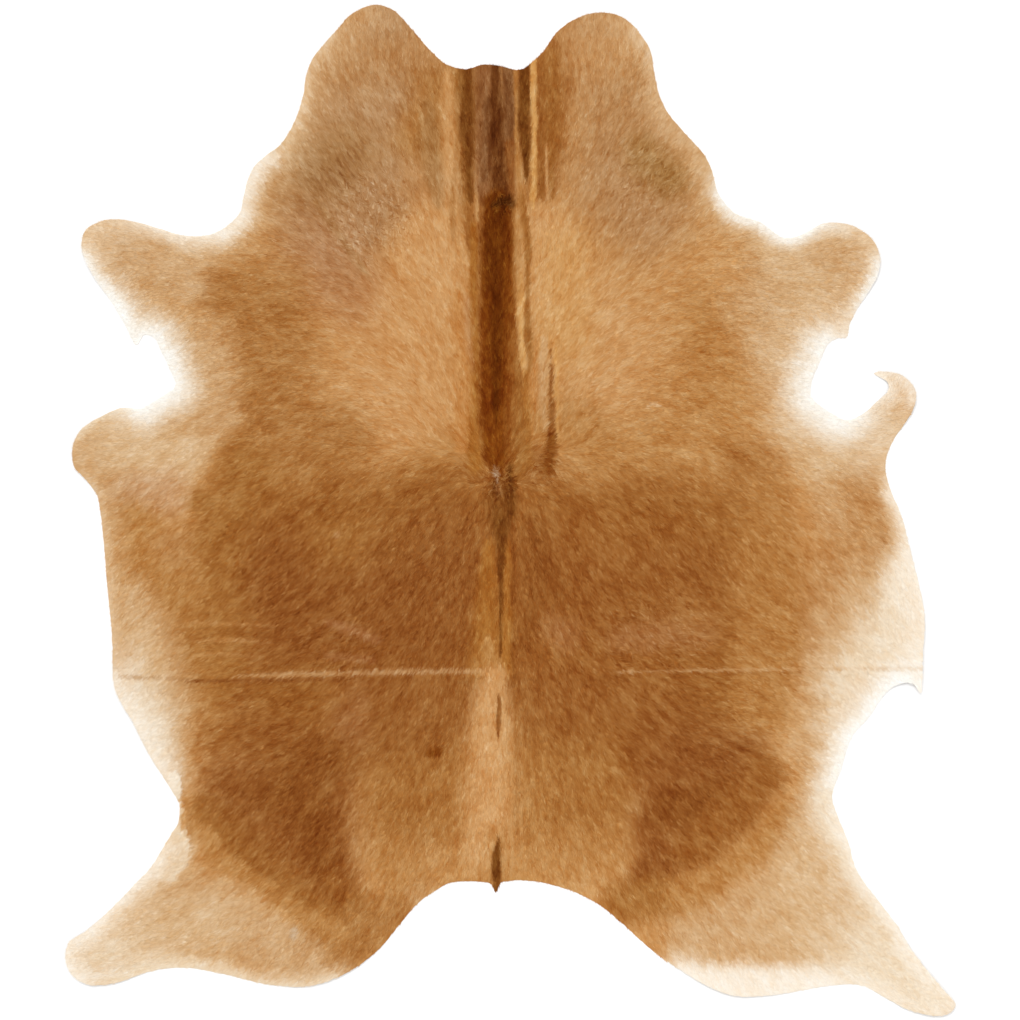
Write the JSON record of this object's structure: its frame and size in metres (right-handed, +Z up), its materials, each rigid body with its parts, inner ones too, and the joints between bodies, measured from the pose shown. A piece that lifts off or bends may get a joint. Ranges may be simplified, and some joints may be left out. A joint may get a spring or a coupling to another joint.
{
  "type": "hair-on cowhide rug",
  "caption": "Hair-on cowhide rug laid flat: a whole caramel hide with a dark spine stripe, cream edges, leg flaps, neck pleats and a fold across the rump.",
  "frame": {"origin": "on the surface that the hide lies on, under the middle of its bounding box", "axes": "+Z up through the hair side; +Y along the spine to the neck; +X to the right as seen from above with the neck at the top"},
  "size_m": [1.9557, 2.2208, 0.012],
  "materials": {
    "cowhide": "short lying hair, matt with a faint sheen"
  },
  "bodies": {
    "root": {"hide": "cowhide"}
  },
  "joints": []
}
